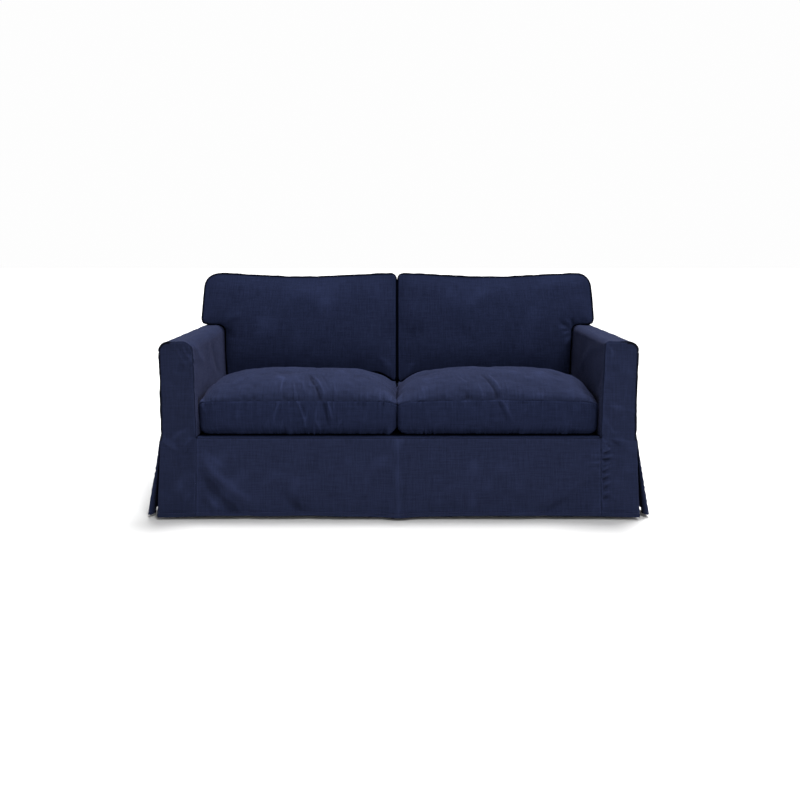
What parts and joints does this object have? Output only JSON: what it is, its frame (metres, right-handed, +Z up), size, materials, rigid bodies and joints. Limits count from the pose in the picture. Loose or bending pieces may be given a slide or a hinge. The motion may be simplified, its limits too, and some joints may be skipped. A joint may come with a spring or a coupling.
{
  "type": "sofa slipcover",
  "caption": "Fitted hollow cloth cover for a square-armed sofa, with a floor-length skirt, open kick pleats at the front corners, and boxed covers for its seat and back cushions.",
  "frame": {"origin": "on the floor, under the middle of the cover, at the bottom centre of its box", "axes": "+X to the sitter's left along the length of the sofa, which is the viewer's right from the front; +Y from the open front to the back; +Z up"},
  "size_m": [1.873, 0.9201, 0.8753],
  "materials": {
    "navy_cloth": "matte"
  },
  "bodies": {
    "root": {"front_skirt": "navy_cloth", "deck": "navy_cloth", "inside_back": "navy_cloth", "back_band": "navy_cloth", "outside_back": "navy_cloth", "arm_front_left": "navy_cloth", "arm_left": "navy_cloth", "side_left": "navy_cloth", "pleat_left": "navy_cloth", "seat_top_left": "navy_cloth", "seat_boxing_left": "navy_cloth", "seat_bottom_left": "navy_cloth", "back_face_left": "navy_cloth", "back_boxing_left": "navy_cloth", "back_rear_left": "navy_cloth", "arm_front_right": "navy_cloth", "arm_right": "navy_cloth", "side_right": "navy_cloth", "pleat_right": "navy_cloth", "seat_top_right": "navy_cloth", "seat_boxing_right": "navy_cloth", "seat_bottom_right": "navy_cloth", "back_face_right": "navy_cloth", "back_boxing_right": "navy_cloth", "back_rear_right": "navy_cloth"}
  },
  "joints": []
}
